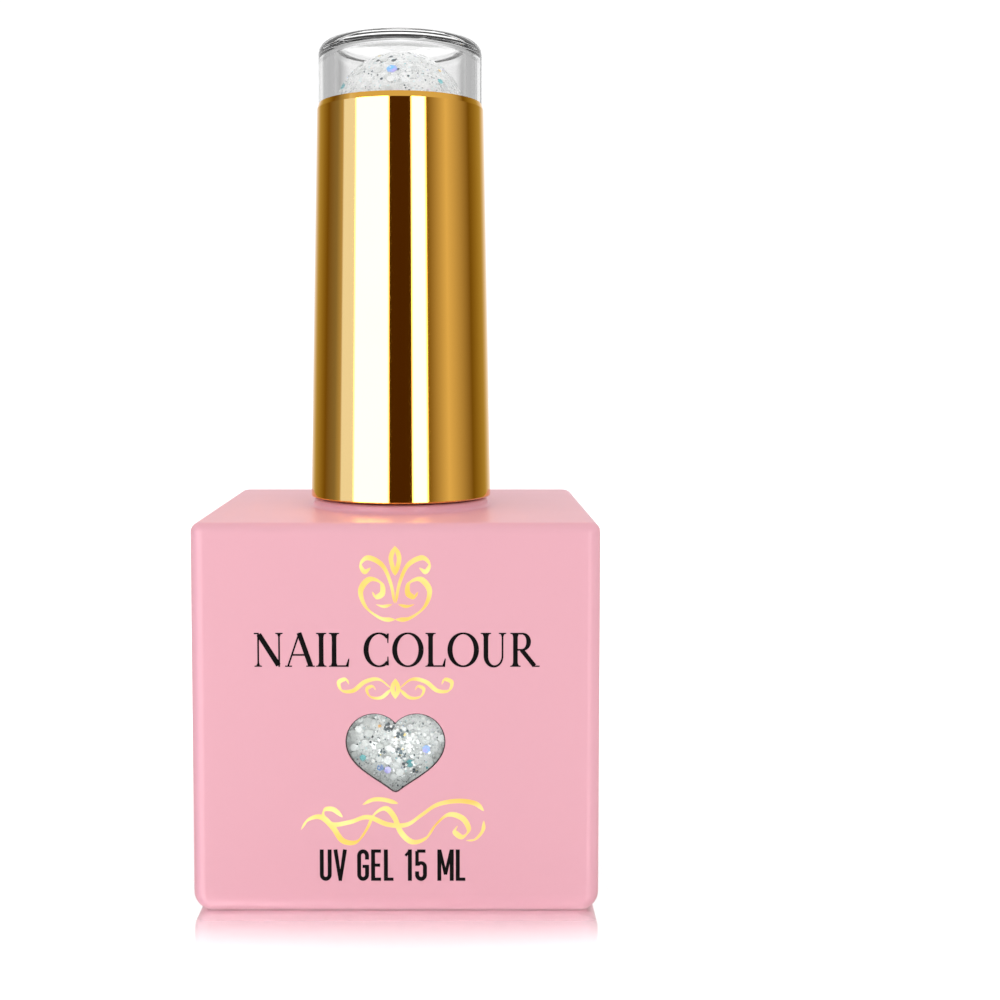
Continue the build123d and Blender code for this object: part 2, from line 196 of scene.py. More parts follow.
def cells(tree, scale):
    """Voronoi cells in object space; returns (colour of the cell, distance to its middle)."""
    made = node(tree, "ShaderNodeTexVoronoi", Scale=scale, Randomness=0.9)
    tree.links.new(place(tree), made.inputs["Vector"])
    return made.outputs["Color"], made.outputs["Distance"]


def ramp(tree, value, stops):
    """Colour ramp with hard steps through (position, colour) stops."""
    made = tree.nodes.new("ShaderNodeValToRGB")
    made.color_ramp.interpolation = "CONSTANT"
    elements = made.color_ramp.elements
    while len(elements) > 1:
        elements.remove(elements[-1])
    for index, (position, colour) in enumerate(stops):
        stop = elements[0] if index == 0 else elements.new(position)
        stop.position = position
        stop.color = (*colour, 1)
    tree.links.new(value, made.inputs[0])
    return made.outputs[0]


def glitter_gel_material(name, coat):
    """Silver glitter gel: overlapping grains of many greys, a few dark and a few coloured."""
    material, tree, shader = new_material(name)
    coarse = node(tree, "ShaderNodeSeparateColor")
    tree.links.new(cells(tree, 2600)[0], coarse.inputs[0])
    fine = node(tree, "ShaderNodeSeparateColor")
    tree.links.new(cells(tree, 7000)[0], fine.inputs[0])
    big_grains = ramp(
        tree,
        coarse.outputs[0],
        [
            (0.0, (0.66, 0.68, 0.67)),
            (0.25, (0.78, 0.79, 0.78)),
            (0.5, (0.88, 0.89, 0.88)),
            (0.78, (0.72, 0.75, 0.75)),
            (0.92, (0.95, 0.95, 0.95)),
        ],
    )
    small_grains = ramp(
        tree,
        fine.outputs[1],
        [
            (0.0, (0.16, 0.19, 0.2)),
            (0.05, (0.6, 0.62, 0.61)),
            (0.2, (0.84, 0.85, 0.84)),
            (0.6, (0.93, 0.93, 0.92)),
            (0.93, (0.62, 0.85, 0.88)),
            (0.965, (0.9, 0.82, 0.9)),
        ],
    )
    mixed = node(tree, "ShaderNodeMix", data_type="RGBA")
    tree.links.new(spread(tree, noise(tree, 1200), 0.2, 0.85), mixed.inputs[0])
    tree.links.new(big_grains, mixed.inputs[6])
    tree.links.new(small_grains, mixed.inputs[7])
    tree.links.new(mixed.outputs[2], shader.inputs["Base Color"])
    tree.links.new(spread(tree, fine.outputs[0], 0.15, 0.5), shader.inputs["Roughness"])
    shader.inputs["Coat Weight"].default_value = coat
    bump(tree, shader, cells(tree, 3200)[1], 0.5, 0.05 * MM)
    return material


def flake_material(name, first, second, metallic, roughness):
    """Glitter film whose colour drifts across each flake."""
    material, tree, shader = new_material(name)
    colour = blend_colours(tree, spread(tree, noise(tree, 1500, 1.0), -0.6, 1.6), first, second)
    tree.links.new(colour, shader.inputs["Base Color"])
    shader.inputs["Metallic"].default_value = metallic
    tree.links.new(
        spread(tree, noise(tree, 5000), roughness * 0.7, roughness * 1.3), shader.inputs["Roughness"]
    )
    return material


def foil_material():
    """Hot-stamped gold foil, mostly matt: bright gold with soft patches of paler gold that are painted
    sheen, standing in for the light a foil mirrors.
    """
    material, tree, shader = new_material("gold_foil")
    # the paler of the two golds is painted sheen
    colour = blend_colours(
        tree, spread(tree, noise(tree, 420, 1.0), -0.7, 1.5), (0.86, 0.52, 0.1), (0.97, 0.79, 0.3)
    )
    tree.links.new(colour, shader.inputs["Base Color"])
    shader.inputs["Metallic"].default_value = 0.2
    tree.links.new(spread(tree, noise(tree, 3000), 0.25, 0.4), shader.inputs["Roughness"])
    bump(tree, shader, noise(tree, 2500), 0.1, 0.005 * MM)
    return material


def ink_and_shade_line_material(name, first, second):
    """Screen-printed ink with uneven gloss and a fine tooth; also the dark line of painted shade round the
    heart window.
    """
    material, tree, shader = new_material(name)
    tree.links.new(blend_colours(tree, noise(tree, 800), first, second), shader.inputs["Base Color"])
    tree.links.new(spread(tree, noise(tree, 2500), 0.45, 0.6), shader.inputs["Roughness"])
    shader.inputs["Specular IOR Level"].default_value = 0.0
    bump(tree, shader, noise(tree, 6000), 0.15, 0.004 * MM)
    return material


def bristle_material():
    """Dark nylon filament, lighter where the gel has left a film."""
    material, tree, shader = new_material("bristle_nylon")
    colour = blend_colours(tree, noise(tree, 700), (0.012, 0.01, 0.01), (0.09, 0.08, 0.075))
    tree.links.new(colour, shader.inputs["Base Color"])
    tree.links.new(spread(tree, noise(tree, 4000), 0.2, 0.36), shader.inputs["Roughness"])
    shader.inputs["Specular IOR Level"].default_value = 0.6
    return material


def assign(name, material):
    """Gives a CAD node its material."""
    for slot in nodes[name].material_slots:
        slot.material = material


assign("lacquer_coat", lacquer_material())
assign("gold_sleeve", gold_material())
assign("glass_bottle", clear_material("bottle_glass", (0.97, 0.985, 0.98), 1.5, 0.5))
assign("clear_top", clear_material("crown_acrylic", (0.985, 0.985, 0.985), 1.49, 0.12))
assign("inner_cap", moulded("inner_cap_plastic", (0.8, 0.8, 0.78), (0.74, 0.74, 0.72), 0.35, 2500))
assign("brush_stem", moulded("stem_plastic", (0.86, 0.86, 0.83), (0.8, 0.8, 0.77), 0.28, 2500))
assign("sealing_liner", moulded("liner_foam", (0.78, 0.78, 0.75), (0.7, 0.7, 0.67), 0.7, 6000))
assign("sample_dome", moulded("sample_plastic", (0.9, 0.9, 0.9), (0.86, 0.86, 0.87), 0.3, 2500))
assign("sample_layer", glitter_gel_material("sample_gel", 0.8))
assign("base_label", moulded("label_paper", (0.86, 0.86, 0.84), (0.82, 0.82, 0.8), 0.5, 5000))
assign("mixing_balls", metal_material("ball_steel", (0.62, 0.63, 0.64), 0.12))
assign("bristle_anchor", metal_material("anchor_steel", (0.6, 0.6, 0.6), 0.35))


# ---------------------------------------------------------------- mesh helpers
def add_object(name, mesh, materials=()):
    """Links a mesh as a new object."""
    made = bpy.data.objects.new(name, mesh)
    bpy.context.scene.collection.objects.link(made)
    for material in materials:
        mesh.materials.append(material)
    return made


def closed_mesh(name, points, faces):
    """Mesh from points in metres, with its normals turned outwards."""
    mesh = bpy.data.meshes.new(name)
    mesh.from_pydata(points, [], faces)
    shell = bmesh.new()
    shell.from_mesh(mesh)
    bmesh.ops.recalc_face_normals(shell, faces=shell.faces)
    shell.to_mesh(mesh)
    shell.free()
    return mesh


# ---------------------------------------------------------------- glitter flakes
FLAKE_KINDS = {
    "white": flake_material("flake_white", (0.95, 0.95, 0.94), (0.86, 0.88, 0.88), 0.15, 0.3),
    "silver": flake_material("flake_silver", (0.86, 0.87, 0.86), (0.66, 0.68, 0.68), 0.5, 0.25),
    "grey": flake_material("flake_grey", (0.6, 0.62, 0.6), (0.78, 0.79, 0.78), 0.0, 0.4),
    "dark": flake_material("flake_dark", (0.02, 0.03, 0.035), (0.1, 0.16, 0.19), 0.3, 0.25),
    "blue": flake_material("flake_blue", (0.1, 0.62, 1.0), (0.58, 0.42, 1.0), 0.2, 0.25),
    "teal": flake_material("flake_teal", (0.04, 0.42, 0.48), (0.35, 0.78, 0.78), 0.2, 0.25),
    "lavender": flake_material("flake_lavender", (0.42, 0.38, 0.95), (0.78, 0.74, 1.0), 0.2, 0.25),
    "amber": flake_material("flake_amber", (0.95, 0.5, 0.12), (0.95, 0.8, 0.3), 0.2, 0.25),
}
FLAKE_ORDER = list(FLAKE_KINDS)
FLAKE_THICKNESS = 0.02 * MM


def flake_cloud(name, flakes):
    """One mesh of thin hexagonal flakes, each (middle, normal, radius, kind), in metres."""
    points, faces, kinds = [], [], []
    for middle, normal, radius, kind in flakes:
        across = normal.orthogonal().normalized()
        up = normal.cross(across)
        start = len(points)
        spin = draw.uniform(0, math.tau / 6)
        for side in (-0.5, 0.5):
            for corner in range(6):
                turn = spin + corner * math.tau / 6
                rim = across * math.cos(turn) + up * math.sin(turn)
                points.append(middle + radius * rim + side * FLAKE_THICKNESS * normal)
        faces.append([start + corner for corner in range(6)])
        faces.append([start + 6 + corner for corner in range(6)])
        for corner in range(6):
            following = (corner + 1) % 6
            faces.append([start + corner, start + following, start + 6 + following, start + 6 + corner])
        kinds += [FLAKE_ORDER.index(kind)] * 8
    mesh = closed_mesh(name, points, faces)
    mesh.polygons.foreach_set("material_index", kinds)
    return add_object(name, mesh, FLAKE_KINDS.values())


def tilted(normal, most):
    """The normal leaned by up to most in a random direction."""
    lean = Vector([draw.gauss(0, 1) for _ in range(3)]).normalized() * math.tan(draw.uniform(0, most))
    return (normal + lean).normalized()


def pick(shares):
    """A kind drawn by its share."""
    return draw.choices(list(shares), list(shares.values()))[0]


SPECK_SHARES = {
    "white": 50, "silver": 22, "grey": 10, "dark": 14,
    "blue": 1, "teal": 1.5, "lavender": 1, "amber": 1,
}
HEX_SHARES = {
    "white": 36, "silver": 14, "grey": 46, "dark": 2,
    "blue": 0.5, "teal": 0.8, "lavender": 0.7,
}

# ---------------------------------------------------------------- gel behind the heart window
GEL_SKIN = 0.03 * MM
GEL_DEPTH = 0.9 * MM  # how far the flakes stand in front of the cloudy gel
GEL_CORE = 0.7  # share of the gel's half depth that keeps its place
WINDOW_HALF = 6.2 * MM
WINDOW_LOW = 6.6 * MM
WINDOW_HIGH = 19.4 * MM


def gel_body():
    """The gel, drawn in from the glass, and further at the front and back for the flakes."""
    mesh = nodes["gel_fill"].data.copy()
    mesh.name = "glitter_gel"
    shell = bmesh.new()
    shell.from_mesh(mesh)
    bmesh.ops.remove_doubles(shell, verts=shell.verts, dist=0.001 * MM)
    bmesh.ops.recalc_face_normals(shell, faces=shell.faces)
    shell.normal_update()
    depth = gel_high.y
    for point in shell.verts:
        point.co -= point.normal * GEL_SKIN
        share = max(0, (abs(point.co.y) - GEL_CORE * depth) / ((1 - GEL_CORE) * depth))
        point.co.y -= math.copysign(GEL_DEPTH * min(1, share), point.co.y)
    shell.to_mesh(mesh)
    shell.free()
    mesh.materials.clear()
    return add_object("glitter_gel", mesh, [glitter_gel_material("glitter_gel", 0.2)])


gel = gel_body()
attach(gel, "bottle")
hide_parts("gel_fill")

# Flakes that stand out in the window: (x, z, kind, radius), in millimetres.
WINDOW_FEATURES = [
    (2.4, 12.8, "blue", 0.34),
    (-2.7, 12.1, "teal", 0.27),
    (-0.7, 11.1, "lavender", 0.3),
    (-2.3, 15.1, "grey", 0.36),
    (-2.2, 14.1, "grey", 0.36),
    (-2.5, 13.3, "grey", 0.32),
    (-0.7, 11.9, "silver", 0.36),
]
# Knots of small dark flakes: (x, z, spread, count), in millimetres.
WINDOW_KNOTS = [
    (-0.68, 14.5, 0.36, 30),
    (0.5, 14.0, 0.3, 16),
    (0.35, 12.4, 0.34, 24),
    (0.7, 11.6, 0.24, 12),
    (1.4, 11.1, 0.34, 9),
    (-1.2, 12.7, 0.36, 8),
    (-1.5, 13.6, 0.4, 5),
]
BRIGHT_MIDDLE = Vector((1.0, 13.3))  # the brightest patch of the window, in millimetres
BRIGHT_SPREAD = 0.75
BRIGHT_COUNT = 90


def window_flakes():
    """Flakes between the glass and the cloudy gel, all over the window and a little past it."""
    near = gel_low.y + 0.06 * MM
    far = gel_low.y + GEL_DEPTH
    face = Vector((0, -1, 0))
    flakes = []
    for count, low, high, shares, most in (
        (1500, 0.035, 0.09, SPECK_SHARES, 0.9),
        (260, 0.1, 0.17, SPECK_SHARES, 0.5),
        (150, 0.24, 0.36, HEX_SHARES, 0.25),
    ):
        for _ in range(count):
            radius = draw.uniform(low, high) * MM
            reach = radius * math.sin(most)
            middle = Vector(
                (
                    draw.uniform(-WINDOW_HALF, WINDOW_HALF),
                    draw.uniform(near + reach, far),
                    draw.uniform(WINDOW_LOW, WINDOW_HIGH),
                )
            )
            flakes.append((middle, tilted(face, most), radius, pick(shares)))
    for x, z, kind, radius in WINDOW_FEATURES:
        flakes.append((Vector((x * MM, near + 0.1 * MM, z * MM)), tilted(face, 0.1), radius * MM, kind))
    for x, z, wide, count in WINDOW_KNOTS:
        for index in range(count):
            middle = Vector((draw.gauss(x, wide / 2) * MM, near + draw.uniform(0.02, 0.15) * MM, 0))
            middle.z = draw.gauss(z, wide / 2) * MM
            kind = "dark" if index % 4 else pick({"white": 3, "silver": 2, "amber": 1})
            flakes.append((middle, tilted(face, 0.4), draw.uniform(0.06, 0.14) * MM, kind))
    for _ in range(BRIGHT_COUNT):
        x, z = (draw.gauss(m, BRIGHT_SPREAD) for m in BRIGHT_MIDDLE)
        middle = Vector((x * MM, near + draw.uniform(0.05, 0.4) * MM, z * MM))
        flakes.append((middle, tilted(face, 0.5), draw.uniform(0.07, 0.2) * MM, "white"))
    return flake_cloud("window_flakes", flakes)


window_glitter = window_flakes()
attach(window_glitter, "bottle")

# ---------------------------------------------------------------- flakes on the sample dome
LAYER_RADIUS = layer_high.x
LAYER_MIDDLE = Vector((0, 0, layer_low.z))
# Flakes that stand out on the dome: (x, y, kind, radius), in millimetres.
DOME_FEATURES = [
    (-0.5, -4.5, "blue", 0.46),
    (-4.75, -1.9, "teal", 0.42),
    (-4.5, -2.6, "teal", 0.28),
    (3.3, -3.9, "teal", 0.24),
    (-1.6, -4.3, "grey", 0.36),
    (1.3, -4.3, "silver", 0.36),
    (-3.2, -3.2, "grey", 0.36),
    (-1.7, -3.2, "dark", 0.17),
    (-0.4, -3.7, "dark", 0.2),
    (0.8, -4.9, "dark", 0.1),
]
FEATURE_RISE = 0.012  # how far their middles stand over the skin, in millimetres


def dome_flake(direction, radius, kind, most, rise):
    """A flake on the dome's gel, its middle at a rise over the skin in millimetres."""
    middle = LAYER_MIDDLE + direction * (LAYER_RADIUS + rise * MM)
    return middle, tilted(direction, most), radius, kind


def dome_flakes():
    """Flakes spread evenly over the dome."""
    flakes = []
    for count, low, high, shares, most in (
        (900, 0.035, 0.09, SPECK_SHARES, 0.4),
        (220, 0.1, 0.17, SPECK_SHARES, 0.2),
        (130, 0.24, 0.36, HEX_SHARES, 0.06),
    ):
        for _ in range(count):
            height = draw.uniform(0.06, 1)
            bearing = draw.uniform(0, math.tau)
            ring = math.sqrt(1 - height**2)
            direction = Vector((ring * math.cos(bearing), ring * math.sin(bearing), height))
            radius = draw.uniform(low, high) * MM
            flakes.append(dome_flake(direction, radius, pick(shares), most, draw.uniform(-0.02, 0.02)))
    for x, y, kind, radius in DOME_FEATURES:
        direction = Vector((x * MM, y * MM, 0))
        direction.z = math.sqrt(LAYER_RADIUS**2 - direction.length_squared)
        flakes.append(dome_flake(direction.normalized(), radius * MM, kind, 0.0, FEATURE_RISE))
    return flake_cloud("dome_flakes", flakes)


dome_glitter = dome_flakes()
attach(dome_glitter, "cap")

# ---------------------------------------------------------------- brush filaments
FILAMENT_COUNT = 280
FILAMENT_RADIUS = 0.055 * MM
FILAMENT_SIDES = 6
FILAMENT_STATIONS = 9
ROOT_DEPTH = 1.5 * MM  # how far the filaments reach into the stem
ROOT_HALF = Vector((1.22 * MM, 0.42 * MM))
FAN_HALF = Vector((2.2 * MM, 0.62 * MM))
FAN_RISE = 4.4 * MM  # from the tip of the brush to its widest place
TIP_THINNING = 0.4


def filament_path(across, through):
    """Middle line of one filament from inside the stem to its tip."""
    top = stem_low.z + ROOT_DEPTH
    tip = tuft_low.z + FILAMENT_RADIUS + 0.9 * FAN_RISE * (1 - math.sqrt(1 - across**2))
    tip += draw.uniform(0, 0.12) * MM
    widest = tuft_low.z + FAN_RISE
    wander = draw.uniform(-0.03, 0.03) * MM
    path = []
    for station in range(FILAMENT_STATIONS):
        z = top + (tip - top) * station / (FILAMENT_STATIONS - 1)
        fan = min(1, max(0, (stem_low.z - z) / (stem_low.z - widest)))
        fan = fan * fan * (3 - 2 * fan)
        close = max(0, (widest - z) / FAN_RISE)
        half = ROOT_HALF.lerp(FAN_HALF, fan)
        x = across * half.x * (1 - 0.07 * close**2) + wander * fan
        y = through * half.y * (1 - (1 - TIP_THINNING) * close)
        path.append(Vector((x, y, z)))
    return path


def filaments():
    """The tuft, filament by filament, each a closed tapering rod."""
    points, faces = [], []
    for _ in range(FILAMENT_COUNT):
        path = filament_path(draw.uniform(-0.97, 0.97), draw.uniform(-1, 1))
        start = len(points)
        for station, middle in enumerate(path):
            radius = FILAMENT_RADIUS * (0.5 if station == FILAMENT_STATIONS - 1 else 1)
            for side in range(FILAMENT_SIDES):
                turn = side * math.tau / FILAMENT_SIDES
                points.append(middle + radius * Vector((math.cos(turn), math.sin(turn), 0)))
        for station in range(FILAMENT_STATIONS - 1):
            for side in range(FILAMENT_SIDES):
                a = start + station * FILAMENT_SIDES + side
                b = start + station * FILAMENT_SIDES + (side + 1) % FILAMENT_SIDES
                faces.append([a, b, b + FILAMENT_SIDES, a + FILAMENT_SIDES])
        last = start + (FILAMENT_STATIONS - 1) * FILAMENT_SIDES
        faces.append([start + side for side in range(FILAMENT_SIDES)])
        faces.append([last + side for side in range(FILAMENT_SIDES)])
    mesh = closed_mesh("brush_filaments", points, faces)
    mesh.shade_smooth()
    return add_object("brush_filaments", mesh, [bristle_material()])


brush = filaments()
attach(brush, "cap")
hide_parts("brush_bristles")

# ---------------------------------------------------------------- printing on the front
PRINT_PROUD = 0.008 * MM
PRINT_SUNK = 0.03 * MM
STROKE_STEP = 0.001 * MM  # each stroke lies this much over the one before it
STROKE_RISE = 0.004 * MM  # and rises by this from its start to its end, to cross itself cleanly
STROKE_LAYERS = 8  # after which the steps begin again
CURVE_STEPS = 9  # points on a pen stroke between two of its guides
PEN_TAPER = 0.5  # length over which a pen stroke comes to a point, in millimetres
LEAST_WIDTH = 0.03


def arc(middle, radii, start, end, thin, thick, steps=24):
    """Elliptical stroke, thick at its sides and thin at its top and bottom; angles in degrees."""
    path, widths = [], []
    for step in range(steps + 1):
        turn = math.radians(start + (end - start) * step / steps)
        path.append(Vector((middle[0] + radii[0] * math.cos(turn), middle[1] + radii[1] * math.sin(turn))))
        widths.append(thin + (thick - thin) * abs(math.cos(turn)) ** 1.4)
    return path, widths


def bar(start, end, width, end_width=None):
    """Straight stroke."""
    return [Vector(start), Vector(end)], [width, end_width or width]


def stem(x, width, low=0, foot=True, head=True):
    """Upright stroke with bracketed serifs at its foot and head."""
    flare = width + 0.17
    profile = [(0, flare), (0.028, flare), (0.045, width + 0.05), (0.12, width)]
    path, widths = [], []
    for rise, wide in profile:
        path.append(Vector((x, low + rise)))
        widths.append(wide if foot else width)
    for rise, wide in reversed(profile):
        path.append(Vector((x, 1 - rise)))
        widths.append(wide if head else width)
    return path, widths


STEM = 0.135
HAIR = 0.05
SERIF_LETTERS = {
    "N": (0.94, [
        stem(0.13, HAIR, head=False),
        stem(0.81, HAIR, foot=False),
        bar((0.15, 0.955), (0.79, 0.045), STEM * 1.1),
        bar((-0.01, 0.98), (0.14, 0.98), 0.04),
    ]),
    "A": (0.94, [
        bar((0.1, 0.02), (0.47, 1.0), HAIR),
        bar((0.46, 1.0), (0.84, 0.02), STEM * 1.05),
        bar((0.22, 0.35), (0.7, 0.35), HAIR),
        bar((0.0, 0.018), (0.23, 0.018), 0.036),
        bar((0.69, 0.018), (0.97, 0.018), 0.036),
    ]),
    "I": (0.36, [stem(0.18, STEM)]),
    "L": (0.68, [
        stem(0.18, STEM),
        bar((0.18, 0.022), (0.62, 0.022), 0.044),
        bar((0.6, 0.0), (0.66, 0.24), 0.09, 0.03),
    ]),
    "C": (0.88, [
        arc((0.5, 0.5), (0.42, 0.485), 48, 312, HAIR, STEM * 1.1, 40),
        bar((0.79, 0.98), (0.79, 0.7), 0.06, 0.03),
        bar((0.79, 0.04), (0.79, 0.3), 0.06, 0.03),
    ]),
    "O": (1.0, [arc((0.5, 0.5), (0.43, 0.485), 0, 360, HAIR, STEM * 1.1, 48)]),
    "U": (0.9, [
        stem(0.18, STEM, low=0.3, foot=False),
        arc((0.45, 0.32), (0.27, 0.31), 180, 270, HAIR * 1.3, STEM, 12),
        arc((0.45, 0.32), (0.27, 0.31), 270, 360, HAIR * 1.3, HAIR, 12),
        stem(0.72, HAIR, low=0.3, foot=False),
    ]),
    "R": (0.9, [
        stem(0.18, STEM),
        bar((0.18, 0.975), (0.4, 0.975), HAIR),
        bar((0.18, 0.5), (0.42, 0.5), HAIR),
        arc((0.4, 0.7375), (0.21, 0.2375), 90, -90, HAIR, STEM),
        bar((0.38, 0.5), (0.8, 0.03), STEM * 0.95),
        bar((0.74, 0.018), (0.97, 0.018), 0.036),
    ]),
    " ": (0.34, []),
}
BOLD = 0.125
BOLD_LETTERS = {
    "U": (0.44, [
        bar((0.08, 1), (0.08, 0.2), BOLD),
        arc((0.22, 0.2), (0.14, 0.14), 180, 360, BOLD, BOLD),
        bar((0.36, 1), (0.36, 0.2), BOLD),
    ]),
    "V": (0.48, [bar((0.07, 1), (0.24, 0.0), BOLD, 0.1), bar((0.41, 1), (0.24, 0.0), BOLD, 0.1)]),
    "G": (0.44, [
        bar((0.36, 0.68), (0.36, 0.8), BOLD),
        arc((0.22, 0.8), (0.14, 0.14), 0, 180, BOLD, BOLD),
        bar((0.08, 0.8), (0.08, 0.2), BOLD),
        arc((0.22, 0.2), (0.14, 0.14), 180, 360, BOLD, BOLD),
        bar((0.36, 0.2), (0.36, 0.5), BOLD),
        bar((0.2, 0.46), (0.422, 0.46), 0.1),
    ]),
    "E": (0.4, [
        bar((0.08, 0), (0.08, 1), BOLD),
        bar((0.08, 0.05), (0.36, 0.05), 0.1),
        bar((0.08, 0.5), (0.33, 0.5), 0.1),
        bar((0.08, 0.95), (0.36, 0.95), 0.1),
    ]),
    "L": (0.38, [bar((0.08, 0), (0.08, 1), BOLD), bar((0.08, 0.05), (0.35, 0.05), 0.1)]),
    "1": (0.32, [bar((0.2, 0), (0.2, 1), BOLD), bar((0.04, 0.8), (0.2, 0.96), 0.08)]),
    "5": (0.44, [
        bar((0.08, 0.95), (0.38, 0.95), 0.1),
        bar((0.08, 0.48), (0.08, 0.95), 0.11),
        arc((0.22, 0.44), (0.14, 0.13), 150, 0, 0.11, BOLD, 14),
        bar((0.36, 0.44), (0.36, 0.2), BOLD),
        arc((0.22, 0.2), (0.14, 0.14), 180, 360, BOLD, BOLD),
        bar((0.08, 0.2), (0.08, 0.3), BOLD),
    ]),
    "M": (0.6, [
        bar((0.08, 0), (0.08, 1), BOLD),
        bar((0.1, 0.97), (0.3, 0.2), 0.1),
        bar((0.5, 0.97), (0.3, 0.2), 0.1),
        bar((0.52, 0), (0.52, 1), BOLD),
    ]),
    " ": (0.24, []),
}


def typeset(words, letters, left, right, low, high, gap):
    """Strokes of a line of type that fills left to right and stands from low to high."""
    natural = sum(letters[letter][0] for letter in words) + gap * (len(words) - 1)
    tall = high - low
    wide = (right - left) / natural
    strokes = []
    cursor = 0
    for letter in words:
        advance, parts = letters[letter]
        for path, widths in parts:
            laid = [Vector((left + (cursor + point.x) * wide, low + point.y * tall)) for point in path]
            strokes.append((laid, [width * tall for width in widths]))
        cursor += advance + gap
    return strokes


def smooth_path(points):
    """Curve through the points (Catmull-Rom)."""
    ends = [2 * points[0] - points[1], *points, 2 * points[-1] - points[-2]]
    path = []
    for a, b, c, d in zip(ends, ends[1:], ends[2:], ends[3:]):
        for step in range(CURVE_STEPS):
            t = step / CURVE_STEPS
            path.append(
                0.5 * (2 * b + (c - a) * t + (2 * a - 5 * b + 4 * c - d) * t**2
                       + (3 * b - a - 3 * c + d) * t**3)
            )
    return [*path, points[-1]]


def pen_stroke(points, thin, thick, nib=40):
    """Broad-nib stroke: thick across the nib's angle, thin along it, pointed at both ends."""
    path = smooth_path([Vector(point) for point in points])
    lengths = [0]
    for before, after in zip(path, path[1:]):
        lengths.append(lengths[-1] + (after - before).length)
    widths = []
    for index, done in enumerate(lengths):
        along = path[min(index + 1, len(path) - 1)] - path[max(index - 1, 0)]
        across_nib = abs(math.sin(math.atan2(along.y, along.x) - math.radians(nib)))
        end = min(1, min(done, lengths[-1] - done) / PEN_TAPER)
        widths.append(max(LEAST_WIDTH, (thin + (thick - thin) * across_nib) * end**0.6))
    return path, widths


def mirrored(strokes):
    """The strokes and their mirror images about the middle of the front."""
    flipped = [([Vector((-point.x, point.y)) for point in path], widths) for path, widths in strokes]
    return strokes + flipped


def printed(name, strokes, material, near=front - PRINT_PROUD, far=front + PRINT_SUNK):
    """Closed relief of the strokes, which are in millimetres on the front face."""
    points, faces = [], []
    for layer, (path, widths) in enumerate(strokes):
        start = len(points)
        last = len(path) - 1
        for index, (point, width) in enumerate(zip(path, widths)):
            face = near - STROKE_STEP * (layer % STROKE_LAYERS) - STROKE_RISE * index / last
            along = (path[min(index + 1, last)] - path[max(index - 1, 0)]).normalized()
            side = Vector((-along.y, along.x)) * width / 2
            for edge in (point + side, point - side):
                for y in (face, far):
                    points.append((edge.x * MM, y, edge.y * MM))
        for index in range(last):
            a = start + 4 * index
            b = a + 4
            faces += [(a, a + 2, b + 2, b), (a + 1, b + 1, b + 3, a + 3)]
            faces += [(a, b, b + 1, a + 1), (a + 2, a + 3, b + 3, b + 2)]
        end = start + 4 * last
        faces += [(start, start + 1, start + 3, start + 2), (end, end + 2, end + 3, end + 1)]
    made = add_object(name, closed_mesh(name, points, faces), [material])
    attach(made, "bottle")


foil = foil_material()
ink = ink_and_shade_line_material("black_ink", (0.004, 0.004, 0.004), (0.012, 0.011, 0.011))
TITLE = typeset("NAIL COLOUR", SERIF_LETTERS, -11.1, 11.2, 19.95, 22.65, 0.06)
CONTENTS = typeset("UV GEL 15 ML", BOLD_LETTERS, -6.05, 5.6, 2.75, 5.28, 0.055)
printed("front_title", TITLE, ink)
printed("front_contents", CONTENTS, ink)

ORNAMENT = mirrored([
    pen_stroke([(0, 23.7), (1.1, 23.8), (2.3, 24.7), (2.7, 26.0), (2.0, 26.9), (1.1, 26.6), (1.0, 25.8),
                (1.5, 25.5), (1.8, 25.9)], 0.16, 0.46),
    pen_stroke([(0.05, 25.0), (0.35, 26.6), (1.0, 28.0), (2.1, 28.6), (2.7, 28.1), (2.4, 27.5), (1.9, 27.8)],
               0.14, 0.4, 100),
    pen_stroke([(0, 29.5), (0.32, 28.6), (0.12, 27.6), (0, 27.2)], 0.16, 0.36, 10),
    pen_stroke([(0.25, 24.9), (0.9, 24.75), (1.5, 24.9)], 0.12, 0.3),
])
UPPER_FLOURISH = mirrored([
    pen_stroke([(0.3, 18.2), (1.3, 18.95), (2.4, 18.75), (3.3, 18.05), (4.2, 18.05), (4.45, 18.7),
                (3.9, 18.95), (3.65, 18.55)], 0.12, 0.34),
    pen_stroke([(0.3, 18.2), (1.1, 17.5), (1.95, 17.55), (2.25, 18.15), (1.8, 18.4), (1.55, 18.1)],
               0.1, 0.28),
    pen_stroke([(0, 19.0), (0.22, 18.2), (0, 17.4)], 0.2, 0.34, 0),
])
# A long pen flourish: two swelling waves that cross, with curls.
LOWER_FLOURISH = [
    pen_stroke([(-7.5, 6.9), (-6.9, 7.7), (-5.9, 7.9), (-5.0, 7.1), (-4.2, 6.0), (-3.1, 5.9), (-2.3, 6.9),
                (-1.7, 8.1), (-0.8, 8.6), (-0.1, 7.9), (0.4, 6.7), (1.3, 5.9), (2.4, 6.2), (3.2, 7.3),
                (4.2, 8.1), (5.3, 7.8), (5.8, 6.9), (5.3, 6.3), (4.7, 6.7), (4.9, 7.2)], 0.14, 0.44, 50),
    pen_stroke([(-4.2, 7.9), (-4.9, 8.5), (-5.6, 8.5), (-5.7, 7.9), (-5.0, 7.3), (-3.6, 7.5), (-2.2, 7.9),
                (-0.6, 7.3), (0.9, 7.3), (2.1, 8.1), (3.3, 8.9), (4.9, 9.2), (6.3, 9.0), (7.0, 8.4)],
               0.12, 0.38, 70),
    pen_stroke([(5.6, 6.0), (6.3, 6.1), (6.9, 6.8), (7.0, 7.6)], 0.12, 0.32, 20),
    pen_stroke([(-2.6, 8.9), (-1.8, 9.3), (-0.9, 9.3), (0.2, 9.0)], 0.12, 0.34, 70),
]
printed("front_ornament", ORNAMENT, foil)
printed("upper_flourish", UPPER_FLOURISH, foil)
printed("lower_flourish", LOWER_FLOURISH, foil)

